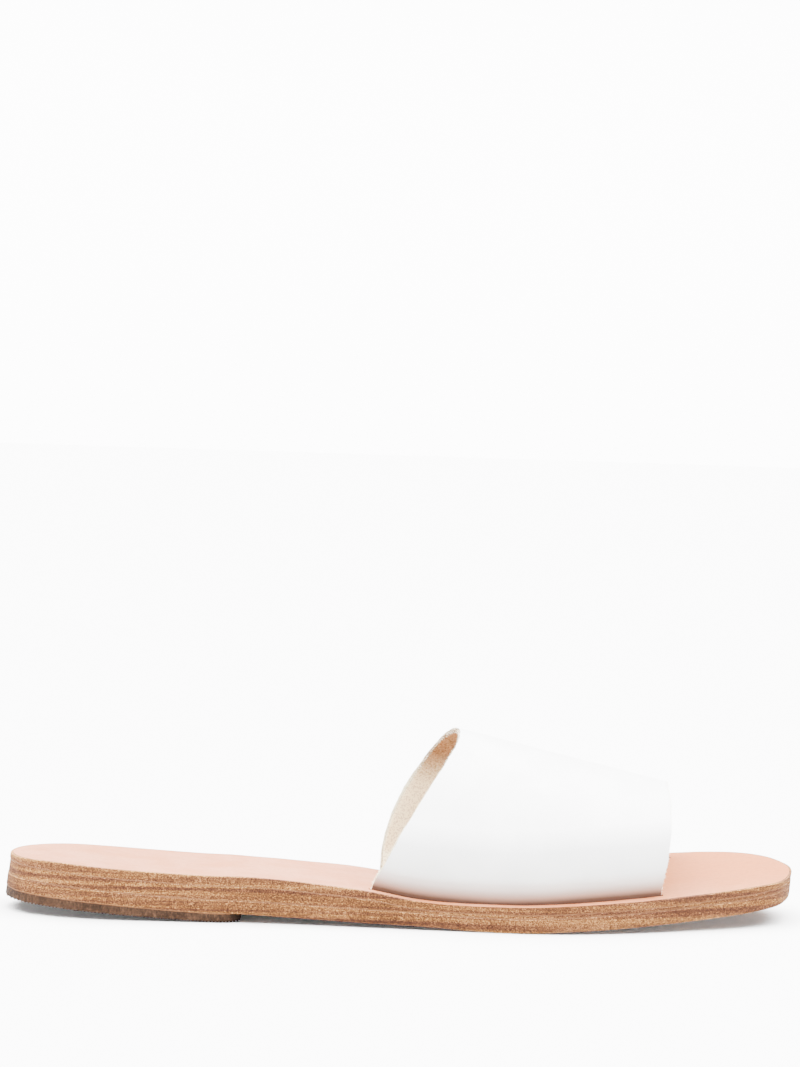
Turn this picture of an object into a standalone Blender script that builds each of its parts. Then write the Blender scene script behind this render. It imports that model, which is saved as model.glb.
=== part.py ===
"""Flat leather slide sandal for the right foot, in metres.

+X points to the toes, +Y to the inner (medial) side of the foot and +Z up. The origin is the
middle of the sole's length and width, on the floor. The sole is four leather and rubber
layers, and the upper is one hollow band whose ends go down through two slots in the insole.
Places along the sole are given as distances from the back of the heel, called station.
"""

import bisect
import math

import bmesh
import bpy
from mathutils import Vector

LENGTH = 0.260
GAP = 0.0003

OUTLINE = (
    # station, outer half width, inner half width
    (0.0000, 0.0000, 0.0000),
    (0.0031, 0.0118, 0.0115),
    (0.0104, 0.0184, 0.0188),
    (0.0260, 0.0243, 0.0258),
    (0.0520, 0.0268, 0.0254),
    (0.0830, 0.0285, 0.0205),
    (0.1140, 0.0334, 0.0230),
    (0.1460, 0.0386, 0.0334),
    (0.1720, 0.0415, 0.0414),
    (0.1980, 0.0382, 0.0434),
    (0.2210, 0.0314, 0.0402),
    (0.2390, 0.0250, 0.0340),
    (0.2510, 0.0174, 0.0270),
    (0.2574, 0.0058, 0.0188),
)
TOE_TIP_Y = 0.0080
POINTS_PER_SPAN = 4

LAYERS = (
    # station, rise above the floor's shape, then the outsole, midsole and insole thickness
    (0.0000, 0.0034, 0.0040, 0.0039, 0.0030),
    (0.0300, 0.0033, 0.0039, 0.0039, 0.0029),
    (0.0744, 0.0028, 0.0041, 0.0042, 0.0030),
    (0.0900, 0.0021, 0.0042, 0.0040, 0.0029),
    (0.1000, 0.0018, 0.0042, 0.0036, 0.0027),
    (0.1090, 0.0015, 0.0042, 0.0032, 0.0026),
    (0.1160, 0.0013, 0.0042, 0.0026, 0.0025),
    (0.1220, 0.0012, 0.0042, 0.0017, 0.0024),
    (0.1280, 0.0011, 0.0041, 0.0010, 0.0022),
    (0.1360, 0.0008, 0.0041, 0.0007, 0.0021),
    (0.1450, 0.0003, 0.0042, 0.0008, 0.0021),
    (0.1540, 0.0000, 0.0043, 0.0009, 0.0022),
    (0.2600, 0.0000, 0.0044, 0.0009, 0.0023),
)
LAYER_STEP = 0.0002
END_FALL, END_RUN = 0.0012, 0.024
HEEL_LEAN, TOE_LEAN = 0.10, 0.07
TOE_THICKNESS = 0.0082
MIDDLE_BAND = 0.003
SHARP_ANGLE = math.radians(35)
WELD = 1e-6

LIFT_END = 0.0744
LIFT_INSET = 0.0001
LIFT_CORNER = 0.006
LIFT_CORNER_STEPS = 5
HEEL_FLAT_START = 0.065
HEEL_ROCK = 0.0038
HEEL_ROCK_POWER = 1.25
TOE_BREAK = 0.162
TOE_SPRING = 0.0084
TOE_SPRING_POWER = 1.12
TOE_TILT = 9.0
BEND_STEP = 0.010

LIP = 0.0060
STRAP_WALL = 0.0020
STRAP_FREE = 0.0090
STRAP_BULGE = 0.0022
STRAP_SECTIONS = 12
FREE_STEPS = 3
ARCH_STEPS = 9
ARCH_POWER = 0.95
CREST_Y = 0.002
CREST_STATION, CREST_HEIGHT, CREST_SLOPE = 0.147, 0.0601, 0.234
STRAP_EDGES = (
    # share of the way over the foot from the outer slot, rear station, front station
    (0.0, 0.1155, 0.2093),
    (0.1, 0.1215, 0.2108),
    (0.2, 0.1297, 0.2122),
    (0.3, 0.1378, 0.2131),
    (0.4, 0.1438, 0.2141),
    (0.5, 0.1460, 0.2156),
    (0.6, 0.1438, 0.2180),
    (0.7, 0.1389, 0.2212),
    (0.8, 0.1315, 0.2238),
    (0.9, 0.1254, 0.2248),
    (1.0, 0.1236, 0.2240),
)
OUTER, INNER = -1, 1

COLOURS = {
    # slot: (red, green, blue, roughness)
    "outsole": (0.46, 0.27, 0.15, 0.75),
    "midsole": (0.50, 0.30, 0.17, 0.75),
    "insole": (0.84, 0.62, 0.54, 0.45),
    "strap": (0.86, 0.86, 0.85, 0.40),
    "heel_lift": (0.28, 0.17, 0.10, 0.85),
}


def ease(share):
    """0 to 1 with level ends."""
    share = min(max(share, 0.0), 1.0)
    return share * share * (3 - 2 * share)


def hermite(start, lead, end, trail, share):
    """A point between start and end on the cubic with these end directions."""
    square, cube = share**2, share**3
    return (
        start * (2 * cube - 3 * square + 1)
        + lead * (cube - 2 * square + share)
        + end * (3 * square - 2 * cube)
        + trail * (cube - square)
    )


def smooth_between(before, start, end, after, share):
    """A point between start and end on the smooth curve through all four."""
    first = (start - before).length ** 0.5
    middle = (end - start).length ** 0.5
    last = (after - end).length ** 0.5
    through = (end - start) / middle
    lead = (start - before) / first - (end - before) / (first + middle) + through
    trail = through - (after - start) / (middle + last) + (after - end) / last
    return hermite(start, lead * middle, end, trail * middle, share)


def sole_outline():
    """The sole's outline as a closed loop of plan points, from the heel along the inner side."""
    inner = [Vector((row[0], row[2])) for row in OUTLINE]
    outer = [Vector((row[0], -row[1])) for row in OUTLINE[1:]]
    corners = inner + [Vector((LENGTH, TOE_TIP_Y))] + outer[::-1]
    count = len(corners)
    loop = []
    for i in range(count):
        near = [corners[(i + step) % count] for step in (-1, 0, 1, 2)]
        for part in range(POINTS_PER_SPAN):
            loop.append(smooth_between(*near, part / POINTS_PER_SPAN))
    return loop


def inset(loop, distance):
    """The loop moved inwards. The loop runs clockwise seen from above."""
    moved = []
    for i, point in enumerate(loop):
        along = (loop[(i + 1) % len(loop)] - loop[i - 1]).normalized()
        moved.append(point + Vector((along.y, -along.x)) * distance)
    return moved


def side_y(loop, side, station):
    """Where the loop's outer or inner side lies at a station."""
    points = sorted((p.x, p.y) for p in loop if p.y * side > MIDDLE_BAND)
    place = min(max(bisect.bisect(points, (station, 0.0)), 1), len(points) - 1)
    (x0, y0), (x1, y1) = points[place - 1], points[place]
    return y0 + (y1 - y0) * (station - x0) / (x1 - x0)


SOLE = sole_outline()
MIDDLE_X = (max(p.x for p in SOLE) + min(p.x for p in SOLE)) / 2
MIDDLE_Y = (max(p.y for p in SOLE) + min(p.y for p in SOLE)) / 2
STRAP_LINE = inset(SOLE, LIP + GAP)


def layers_at(station):
    """The rise and the three thicknesses at a station."""
    place = min(max(bisect.bisect(LAYERS, (station,)), 1), len(LAYERS) - 1)
    before, after = LAYERS[place - 1], LAYERS[place]
    share = (station - before[0]) / (after[0] - before[0])
    return [a + (b - a) * share for a, b in zip(before[1:], after[1:])]


def nearness(distance):
    """1 at one end of the sole, falling to 0 where END_RUN ends."""
    return max(1 - distance / END_RUN, 0.0)


def end_fall(station):
    """How far the footbed is skived down close to the heel's back and the toe's tip."""
    return END_FALL * nearness(min(station, LENGTH - station)) ** 2


def lean(station, height):
    """How far forward a point moves: the trimmed edge slopes in upwards at the heel's back
    and in downwards at the toe's tip."""
    heel = HEEL_LEAN * height * nearness(station)
    return heel - TOE_LEAN * (TOE_THICKNESS - height) * nearness(LENGTH - station)


def floor_shape(station, y):
    """The underside's rise: rocked heel, flat at the lift's front and the ball, and a toe
    spring that lifts the inner side more."""
    back = max(HEEL_FLAT_START - station, 0.0) / HEEL_FLAT_START
    front = max(station - TOE_BREAK, 0.0) / (LENGTH - TOE_BREAK)
    toe = TOE_SPRING * front**TOE_SPRING_POWER * (1 + TOE_TILT * y)
    return HEEL_ROCK * back**HEEL_ROCK_POWER + toe


def outsole_under(station, y):
    return floor_shape(station, y) + layers_at(station)[0]


def outsole_top(station, y):
    return outsole_under(station, y) + layers_at(station)[1]


def midsole_top(station, y):
    return outsole_top(station, y) + GAP + layers_at(station)[2]


def insole_top(station, y):
    return midsole_top(station, y) + GAP + layers_at(station)[3] - end_fall(station)


def material(name):
    red, green, blue, rough = COLOURS[name]
    made = bpy.data.materials.new(name)
    made.use_nodes = True
    shader = made.node_tree.nodes["Principled BSDF"]
    shader.inputs["Base Color"].default_value = (red, green, blue, 1)
    shader.inputs["Roughness"].default_value = rough
    return made


def add_object(name, mesh, collection):
    mesh.materials.clear()
    mesh.materials.append(material(name))
    mesh.shade_smooth()
    mesh.set_sharp_from_angle(angle=SHARP_ANGLE)
    made = bpy.data.objects.new(name, mesh)
    made.location = (-MIDDLE_X, -MIDDLE_Y, 0)
    collection.objects.link(made)
    return made


def flat_plate(name, loops, collection):
    """A plate 2 mm thick about z 0, from an outline and any holes in it, as a bmesh."""
    curve = bpy.data.curves.new(name + "_outline", "CURVE")
    curve.dimensions = "2D"
    curve.fill_mode = "BOTH"
    curve.extrude = 0.001
    for loop in loops:
        spline = curve.splines.new("POLY")
        spline.points.add(len(loop) - 1)
        for point, place in zip(spline.points, loop):
            point.co = (place.x, place.y, 0, 1)
        spline.use_cyclic_u = True
    holder = bpy.data.objects.new(name + "_outline", curve)
    collection.objects.link(holder)
    graph = bpy.context.evaluated_depsgraph_get()
    flat = bpy.data.meshes.new_from_object(holder.evaluated_get(graph))
    plate = bmesh.new()
    plate.from_mesh(flat)
    bpy.data.objects.remove(holder)
    bpy.data.meshes.remove(flat)
    bmesh.ops.remove_doubles(plate, verts=plate.verts, dist=WELD)
    bmesh.ops.dissolve_limit(
        plate, angle_limit=math.radians(1), verts=plate.verts, edges=plate.edges
    )
    return plate


def layer(name, loops, under, top, stations, collection):
    """A plate cut across at each station, then bent to its under and top surfaces."""
    plate = flat_plate(name, loops, collection)
    for station in stations:
        geometry = plate.verts[:] + plate.edges[:] + plate.faces[:]
        bmesh.ops.bisect_plane(
            plate, geom=geometry, dist=WELD, plane_co=(station, 0, 0), plane_no=(1, 0, 0)
        )
    for vert in plate.verts:
        station, y = vert.co.xy
        surface = top if vert.co.z > 0 else under
        vert.co.z = surface(station, y)
        vert.co.x += lean(station, vert.co.z - floor_shape(station, y))
    bmesh.ops.triangulate(plate, faces=plate.faces)
    bmesh.ops.recalc_face_normals(plate, faces=plate.faces)
    mesh = bpy.data.meshes.new(name)
    plate.to_mesh(mesh)
    plate.free()
    return add_object(name, mesh, collection)


def bend_stations(*exact):
    """Even steps along the sole, and the exact stations where its shape changes."""
    even = [i * BEND_STEP for i in range(1, int(LENGTH / BEND_STEP))]
    kept = [x for x in even if min(abs(x - place) for place in exact) > BEND_STEP / 3]
    return sorted(kept + list(exact))


def slot_loop(side):
    """The slot for one end of the strap: the strap's foot with a gap all round."""
    rear, front = STRAP_EDGES[0 if side == OUTER else -1][1:]
    far_wall = inset(SOLE, LIP)
    near_wall = inset(SOLE, LIP + STRAP_WALL + 2 * GAP)
    steps = STRAP_SECTIONS
    places = [rear - 2 * GAP + (front - rear + 4 * GAP) * i / steps for i in range(steps + 1)]
    there = [Vector((x, side_y(far_wall, side, x))) for x in places]
    back = [Vector((x, side_y(near_wall, side, x))) for x in reversed(places)]
    return there + back


def lift_loop():
    """The heel end of the outline, closed by a straight front with rounded corners."""
    loop = inset(SOLE, LIFT_INSET)
    points = [p for p in loop if p.x < LIFT_END - LIFT_CORNER - MIDDLE_BAND]
    start = max(range(len(points)), key=lambda i: (points[i].y > 0, points[i].x))
    points = points[start + 1 :] + points[: start + 1]
    for side in (INNER, OUTER):
        edge = side_y(loop, side, LIFT_END - LIFT_CORNER)
        turn = []
        for i in range(LIFT_CORNER_STEPS + 1):
            angle = math.radians(90) * i / LIFT_CORNER_STEPS
            x = LIFT_END - LIFT_CORNER + LIFT_CORNER * math.sin(angle)
            y = edge - side * LIFT_CORNER * (1 - math.cos(angle))
            turn.append(Vector((x, y)))
        points += turn if side == INNER else turn[::-1]
    return points


def row_at(table, share):
    """The table's row at a share of its evenly spaced first column."""
    rows = [Vector(row[1:]) for row in table]
    place = min(int(share * (len(rows) - 1)), len(rows) - 2)
    start, end = rows[place], rows[place + 1]
    lead = (end - rows[max(place - 1, 0)]) / 2
    trail = (rows[min(place + 2, len(rows) - 1)] - start) / 2
    return hermite(start, lead, end, trail, share * (len(rows) - 1) - place)


def side_profile(station, side):
    """One half of the strap's outer face at a station, from the slot's foot to the crest."""
    foot_y = side_y(STRAP_LINE, side, station)
    floor = midsole_top(station, foot_y) + GAP
    mouth = insole_top(station, foot_y)
    points = [(foot_y, floor)]
    for i in range(FREE_STEPS + 1):
        share = i / FREE_STEPS
        points.append((foot_y + side * STRAP_BULGE * ease(share), mouth + STRAP_FREE * share))
    wide, low = points[-1]
    crest = CREST_HEIGHT - CREST_SLOPE * (station - CREST_STATION)
    for i in range(1, ARCH_STEPS + 1):
        angle = math.radians(90) * i / ARCH_STEPS
        y = CREST_Y + (wide - CREST_Y) * max(math.cos(angle), 0.0) ** ARCH_POWER
        points.append((y, low + (crest - low) * math.sin(angle) ** ARCH_POWER))
    return points


def strap_profile(station):
    outer = side_profile(station, OUTER)
    inner = side_profile(station, INNER)
    return outer + inner[-2::-1]


def strap_shares():
    """How far over the foot each point of the profile lies, 0 and 1 at the slots' mouths."""
    path = strap_profile((STRAP_EDGES[0][1] + STRAP_EDGES[0][2]) / 2)[1:-1]
    far = [0.0]
    for (y0, z0), (y1, z1) in zip(path, path[1:]):
        far.append(far[-1] + math.hypot(y1 - y0, z1 - z0))
    shares = [value / far[-1] for value in far]
    return [0.0] + shares + [1.0]


def strap(collection):
    """The hollow band: its outer face as a grid of sections, thickened inwards."""
    shares = strap_shares()
    edges = [row_at(STRAP_EDGES, share) for share in shares]
    band = bmesh.new()
    rows = []
    for i in range(STRAP_SECTIONS + 1):
        row = []
        for number, (rear, front) in enumerate(edges):
            station = rear + (front - rear) * i / STRAP_SECTIONS
            y, z = strap_profile(station)[number]
            row.append(band.verts.new((station, y, z)))
        rows.append(row)
    for row, following in zip(rows, rows[1:]):
        for a, b, c, d in zip(row, following, following[1:], row[1:]):
            band.faces.new((a, b, c, d))
    mesh = bpy.data.meshes.new("strap")
    band.to_mesh(mesh)
    band.free()
    made = add_object("strap", mesh, collection)
    wall = made.modifiers.new("wall", "SOLIDIFY")
    wall.thickness = STRAP_WALL
    wall.offset = -1
    wall.use_even_offset = True
    return made


def main():
    for old in list(bpy.data.objects):
        bpy.data.objects.remove(old)
    parts = bpy.data.collections.new("slide_sandal")
    bpy.context.scene.collection.children.link(parts)

    slots = [slot_loop(side) for side in (OUTER, INNER)]
    exact = [row[0] for row in LAYERS[1:-1]]
    stations = bend_stations(HEEL_FLAT_START, TOE_BREAK, *exact)
    lift_stations = [x for x in stations if x < LIFT_END]
    layer(
        "heel_lift",
        [lift_loop()],
        floor_shape,
        lambda x, y: outsole_under(x, y) - GAP,
        lift_stations,
        parts,
    )
    layer("outsole", [SOLE], outsole_under, outsole_top, stations, parts)
    layer(
        "midsole",
        [inset(SOLE, LAYER_STEP)],
        lambda x, y: outsole_top(x, y) + GAP,
        midsole_top,
        stations,
        parts,
    )
    layer(
        "insole",
        [SOLE] + slots,
        lambda x, y: midsole_top(x, y) + GAP,
        insole_top,
        stations,
        parts,
    )
    strap(parts)


main()
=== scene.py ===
"""The surfaces of a flat leather slide sandal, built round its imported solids, in metres.

The solids give every place: the sole layers follow their edges, and the band is a smoothed copy
of the strap's solid. +X points to the toes, +Y to the inner side of the foot and +Z up.
"""

import math
import random

import bmesh
import bpy
import numpy as np
from mathutils import Matrix, Quaternion, Vector, noise
from mathutils.kdtree import KDTree


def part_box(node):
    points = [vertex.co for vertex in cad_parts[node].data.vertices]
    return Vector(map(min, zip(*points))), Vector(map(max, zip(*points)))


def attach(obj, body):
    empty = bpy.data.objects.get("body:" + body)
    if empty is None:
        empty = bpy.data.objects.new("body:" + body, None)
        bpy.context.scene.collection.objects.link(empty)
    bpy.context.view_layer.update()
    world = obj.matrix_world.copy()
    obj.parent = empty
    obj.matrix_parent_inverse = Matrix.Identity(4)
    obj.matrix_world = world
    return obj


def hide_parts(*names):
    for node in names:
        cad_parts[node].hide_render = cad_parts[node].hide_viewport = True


bl_info = {
    "name": "Leather Slide Sandal",
    "version": (1, 0, 0),
    "blender": (4, 5, 0),
    "location": "View3D > Sidebar > Sandal",
    "description": "Builds the leather surfaces of a slide sandal round its solid model",
    "category": "Add Mesh",
}

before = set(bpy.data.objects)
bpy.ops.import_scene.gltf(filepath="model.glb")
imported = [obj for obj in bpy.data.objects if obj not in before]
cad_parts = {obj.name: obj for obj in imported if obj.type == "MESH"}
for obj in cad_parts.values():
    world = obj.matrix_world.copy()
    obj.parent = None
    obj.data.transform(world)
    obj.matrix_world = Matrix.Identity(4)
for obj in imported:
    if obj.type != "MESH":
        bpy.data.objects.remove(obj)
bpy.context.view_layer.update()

MM = 0.001
OUTER, INNER = -1, 1
UP, DOWN = 1, -1

STRAP_LOW, STRAP_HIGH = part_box("strap")
LIFT_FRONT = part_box("heel_lift")[1].x


# Reading the solids

LYING_FLAT = 0.5  # a face whose normal is steeper than this belongs to a top or underside
CURVE_PARTS = 24  # parts that each span of a smoothed outline is cut into
STRAIGHT = math.radians(0.4)  # a corner that turns less was cut into a straight stretch
LEVEL_STEPS = 600  # places along an edge where its height is read
LEVEL_BLUR = 11  # how many of those places each way a height is smoothed over
RING_SAMPLES = 4001  # places from which an edge's even steps are measured out
LONG_WAVE, SHORT_WAVE = 6 * MM, 1.6 * MM  # unevenness of a sanded edge
SHORT_WAVE_SHARE, SHORT_WAVE_SEED = 0.6, 3
SEED_STEPS = (7.3, 3.1, 5.7)  # how far one more on a seed moves its noise


def edge_loops(node, facing):
    """The closed edges round a node's top (UP) or underside (DOWN), the widest first."""
    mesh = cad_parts[node].data
    spots = [tuple(round(c, 7) for c in v.co) for v in mesh.vertices]
    sides = set()
    for face in mesh.polygons:
        if face.normal.z * facing > LYING_FLAT:
            corners = [spots[i] for i in face.vertices]
            sides.update(zip(corners, corners[1:] + corners[:1]))
    follows = {a: b for a, b in sides if (b, a) not in sides}
    loops = []
    while follows:
        start, step = follows.popitem()
        loop = [start]
        while step != start:
            loop.append(step)
            step = follows.pop(step)
        loops.append(np.array(loop))
    return sorted(loops, key=lambda loop: -np.ptp(loop, axis=0).max())


def smooth_loop(points, parts):
    """A closed smooth curve through plan points, with each span cut into equal parts."""
    after = np.roll(points, -1, 0)
    span = np.linalg.norm(after - points, axis=1, keepdims=True)
    before = np.roll(span, 1, 0)
    lead = (points - np.roll(points, 1, 0)) / before * span
    lead = (lead + (after - points) / span * before) / (span + before)
    trail = np.roll(lead, -1, 0)
    pieces = []
    for share in np.arange(parts) / parts:
        square, cube = share**2, share**3
        pieces.append(
            points * (2 * cube - 3 * square + 1)
            + lead * span * (cube - 2 * square + share)
            + after * (3 * square - 2 * cube)
            + trail * span * (cube - square)
        )
    return np.stack(pieces, 1).reshape(-1, 2)


def true_corners(loop):
    """The loop's points where its plan really turns, without those cut into straight stretches."""
    plan = loop[:, :2]
    ahead = np.roll(plan, -1, 0) - plan
    heading = np.unwrap(np.arctan2(ahead[:, 1], ahead[:, 0]))
    turn = np.abs(heading - np.roll(heading, 1))
    turn = np.minimum(turn, np.abs(turn - 2 * math.pi))
    return plan[turn > STRAIGHT]


def half_loops(loop):
    """A loop cut at its heel and toe ends: {side: points from heel to toe}."""
    loop = np.roll(loop, -int(loop[:, 0].argmin()), 0)
    toe = int(loop[:, 0].argmax())
    first = loop[: toe + 1]
    second = np.vstack([loop[:1], loop[toe:][::-1]])
    if first[:, 1].mean() < second[:, 1].mean():
        return {OUTER: first, INNER: second}
    return {OUTER: second, INNER: first}


class Rim:
    """The edge of a sole layer's top or underside, read from its solid."""

    def __init__(self, node, facing):
        loop = edge_loops(node, facing)[0]
        self.width = {}
        for side, points in half_loops(smooth_loop(true_corners(loop), CURVE_PARTS)).items():
            self.width[side] = points[:, 0], points[:, 1]
        self.start = self.width[OUTER][0][0]
        self.end = self.width[OUTER][0][-1]
        dense = np.linspace(self.start, self.end, LEVEL_STEPS)
        soft = np.hanning(2 * LEVEL_BLUR + 1)
        self.height = {}
        for side, points in half_loops(loop).items():
            level = np.interp(dense, points[:, 0], points[:, 2])
            padded = np.pad(level, LEVEL_BLUR, mode="reflect", reflect_type="odd")
            self.height[side] = dense, np.convolve(padded, soft / soft.sum(), "valid")

    def y(self, x, side):
        """Where the edge is across the sole, on its outer or inner side."""
        return np.interp(x, *self.width[side])

    def z(self, x, y):
        """The layer's height here, which runs straight from the outer to the inner edge."""
        low, high = self.y(x, OUTER), self.y(x, INNER)
        share = np.clip((y - low) / np.maximum(high - low, MM), 0, 1)
        outer, inner = (np.interp(x, *self.height[side]) for side in (OUTER, INNER))
        return outer + (inner - outer) * share

    def ring(self, half):
        """The edge as a loop of 2 * half plan points at even steps, heel end first."""
        angles = np.linspace(0, math.pi, RING_SAMPLES)
        x = self.start + (self.end - self.start) * (1 - np.cos(angles)) / 2
        far = 0
        for side in (OUTER, INNER):
            steps = np.hypot(np.diff(x), np.diff(self.y(x, side)))
            far = far + np.concatenate([[0], np.cumsum(steps)])
        x = np.interp(np.linspace(0, far[-1], half + 1), far, x)
        back = x[-2:0:-1]
        outer = np.column_stack([x, self.y(x, OUTER)])
        inner = np.column_stack([back, self.y(back, INNER)])
        return np.vstack([outer, inner])

    def worn_ring(self, settings, seed):
        """The ring of the sanded edge, a little uneven, and the directions out of it."""
        ring = self.ring(settings.edge_steps)
        out = outward(ring)
        flat = np.column_stack([ring, np.zeros(len(ring))])
        short = rough(flat, SHORT_WAVE, SHORT_WAVE_SEED)
        wave = rough(flat, LONG_WAVE, seed) + SHORT_WAVE_SHARE * short
        return ring + out * (settings.edge_wave * wave)[:, None], out

    def spine(self, ring, end_radius):
        """The line down the middle that a ring shrinks to, one point for each of its points."""
        x = np.clip(ring[:, 0], self.start + end_radius, self.end - end_radius)
        return np.column_stack([x, (self.y(x, OUTER) + self.y(x, INNER)) / 2])


def outward(ring):
    """The direction straight out of a ring at each of its points, in plan."""
    along = np.roll(ring, -1, 0) - np.roll(ring, 1, 0)
    along /= np.linalg.norm(along, axis=1, keepdims=True)
    return np.column_stack([along[:, 1], -along[:, 0]])


def rough(places, scale, seed):
    """Smooth noise from about -1 to 1 at each place; scale is the size of its lumps."""
    shift = Vector([seed * step for step in SEED_STEPS])
    return np.array([noise.noise(Vector(p) / scale + shift) for p in places])


# Small tools for modelling

SAME_PLACE = 2e-6  # metres between corners that are one


def select_only(*objects):
    """Selects these objects and nothing else, and makes the first the active one."""
    if bpy.context.object and bpy.context.object.mode != "OBJECT":
        bpy.ops.object.mode_set(mode="OBJECT")
    bpy.ops.object.select_all(action="DESELECT")
    for obj in objects:
        obj.select_set(True)
    bpy.context.view_layer.objects.active = objects[0] if objects else None


def get_points(obj):
    """The places of the mesh's corners, one row each."""
    places = np.empty(len(obj.data.vertices) * 3)
    obj.data.vertices.foreach_get("co", places)
    return places.reshape(-1, 3)


def set_points(obj, places):
    obj.data.vertices.foreach_set("co", np.asarray(places, float).ravel())
    obj.data.update()


def tidy_mesh(obj):
    """Joins what coincides and turns every face outwards."""
    select_only(obj)
    bpy.ops.object.mode_set(mode="EDIT")
    bpy.ops.mesh.select_all(action="SELECT")
    bpy.ops.mesh.remove_doubles(threshold=SAME_PLACE)
    bpy.ops.mesh.select_all(action="SELECT")
    bpy.ops.mesh.normals_make_consistent(inside=False)
    bpy.ops.object.mode_set(mode="OBJECT")


def sweep_rings(name, rings):
    """A piece drawn as a circle, then extruded ring by ring to the places of each ring."""
    select_only()
    bpy.ops.mesh.primitive_circle_add(vertices=len(rings[0]), fill_type="NOTHING")
    made = bpy.context.object
    made.name = made.data.name = name
    set_points(made, rings[0])
    order = {number: number for number in range(len(rings[0]))}
    bpy.ops.object.mode_set(mode="EDIT")
    bpy.ops.mesh.select_all(action="SELECT")
    for ring in rings[1:]:
        bpy.ops.mesh.extrude_edges_move()
        work = bmesh.from_edit_mesh(made.data)
        work.verts.index_update()
        fresh = {}
        for vert in work.verts:
            if vert.select:
                source = next(e.other_vert(vert) for e in vert.link_edges if not e.select)
                fresh[vert.index] = order[source.index]
                vert.co = ring[fresh[vert.index]]
        order = fresh
        bmesh.update_edit_mesh(made.data)
    tidy_mesh(made)
    return made


def apply_modifiers(obj):
    select_only(obj)
    for modifier in list(obj.modifiers):
        bpy.ops.object.modifier_apply(modifier=modifier.name)


def smooth_shading(obj, degrees):
    select_only(obj)
    bpy.ops.object.shade_smooth_by_angle(angle=math.radians(degrees))


def finish_piece(obj, node, slot, *materials):
    """Puts the materials on, hides the solid it replaces and lets the piece ride with the solid
    body.
    """
    obj.data.materials.clear()
    for material in materials:
        obj.data.materials.append(material)
    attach(obj, "root")
    if node:
        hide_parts(node)


def paint_faces(obj, choose):
    """Gives each face the material number that choose(centre, normal) returns."""
    for face in obj.data.polygons:
        face.material_index = choose(face.center, face.normal)


# Materials


class Finish:
    """A Principled material and short ways to add the nodes that drive it."""

    def __init__(self, name, roughness, **sockets):
        self.material = bpy.data.materials.new(name)
        self.material.use_nodes = True
        self.tree = self.material.node_tree
        self.shader = self.tree.nodes["Principled BSDF"]
        self.shader.inputs["Roughness"].default_value = roughness
        for socket, value in sockets.items():
            self.shader.inputs[socket.replace("_", " ")].default_value = value
        self.place = self.tree.nodes.new("ShaderNodeTexCoord").outputs["Object"]

    def put(self, socket, value):
        """Links an output to a socket or sets the socket's value; None leaves it alone."""
        if isinstance(value, bpy.types.NodeSocket):
            self.tree.links.new(value, socket)
        elif value is not None:
            socket.default_value = value

    def stretched(self, scale, lean=0.0):
        """Object coordinates with each axis multiplied, so that a pattern is drawn out."""
        node = self.tree.nodes.new("ShaderNodeMapping")
        self.put(node.inputs["Vector"], self.place)
        node.inputs["Scale"].default_value = scale
        node.inputs["Rotation"].default_value = (0, lean, 0)
        return node.outputs["Vector"]

    def noise(self, size, detail=2.0, vector=None, roughness=0.5):
        """Noise whose lumps are about this size, in metres."""
        node = self.tree.nodes.new("ShaderNodeTexNoise")
        self.put(node.inputs["Vector"], vector or self.place)
        node.inputs["Scale"].default_value = 1 / size
        node.inputs["Detail"].default_value = detail
        node.inputs["Roughness"].default_value = roughness
        return node.outputs["Fac"]

    def cells(self, size):
        """Small pits, about this far apart in metres."""
        node = self.tree.nodes.new("ShaderNodeTexVoronoi")
        self.put(node.inputs["Vector"], self.place)
        node.inputs["Scale"].default_value = 1 / size
        return node.outputs["Distance"]

    def math(self, operation, first, second=0.0):
        node = self.tree.nodes.new("ShaderNodeMath")
        node.operation = operation
        self.put(node.inputs[0], first)
        self.put(node.inputs[1], second)
        return node.outputs[0]

    def spread(self, value, low, high, to_low=0.0, to_high=1.0, curve="SMOOTHSTEP"):
        """The value between low and high, stretched to fill another range."""
        node = self.tree.nodes.new("ShaderNodeMapRange")
        node.interpolation_type = curve
        for number, given in enumerate((value, low, high, to_low, to_high)):
            self.put(node.inputs[number], given)
        return node.outputs["Result"]

    def blend(self, share, first, second, mode="MIX"):
        """The first colour at a share of 0, turning into the second at 1."""
        node = self.tree.nodes.new("ShaderNodeMix")
        node.data_type = "RGBA"
        node.blend_type = mode
        self.put(node.inputs["Factor"], share)
        self.put(node.inputs["A"], rgba(first))
        self.put(node.inputs["B"], rgba(second))
        return node.outputs["Result"]

    def ramp(self, value, *stops):
        """A colour that runs through the given (place, colour) stops."""
        node = self.tree.nodes.new("ShaderNodeValToRGB")
        self.put(node.inputs[0], value)
        points = node.color_ramp.elements
        while len(points) < len(stops):
            points.new(0.5)
        for point, (place, colour) in zip(points, stops):
            point.position = place
            point.color = (*(min(channel, 1.0) for channel in colour[:3]), 1.0)
        return node.outputs["Color"]

    def axis(self, name):
        node = self.tree.nodes.new("ShaderNodeSeparateXYZ")
        self.put(node.inputs[0], self.place)
        return node.outputs[name]

    def colour(self, value):
        self.put(self.shader.inputs["Base Color"], rgba(value))

    def bump(self, height, distance, after=None):
        """Relief of this depth in metres, over an earlier bump where one is given."""
        node = self.tree.nodes.new("ShaderNodeBump")
        node.inputs["Distance"].default_value = distance
        self.put(node.inputs["Height"], height)
        self.put(node.inputs["Normal"], after)
        self.put(self.shader.inputs["Normal"], node.outputs["Normal"])
        return node.outputs["Normal"]


def rgba(value):
    """A colour with an alpha of 1, or a node's output as it is."""
    if isinstance(value, bpy.types.NodeSocket):
        return value
    return (*tuple(value)[:3], 1.0)


def scaled(colour, factor):
    """The colour made lighter or darker, with no channel above 1."""
    return tuple(min(channel * factor, 1.0) for channel in tuple(colour)[:3])


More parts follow.
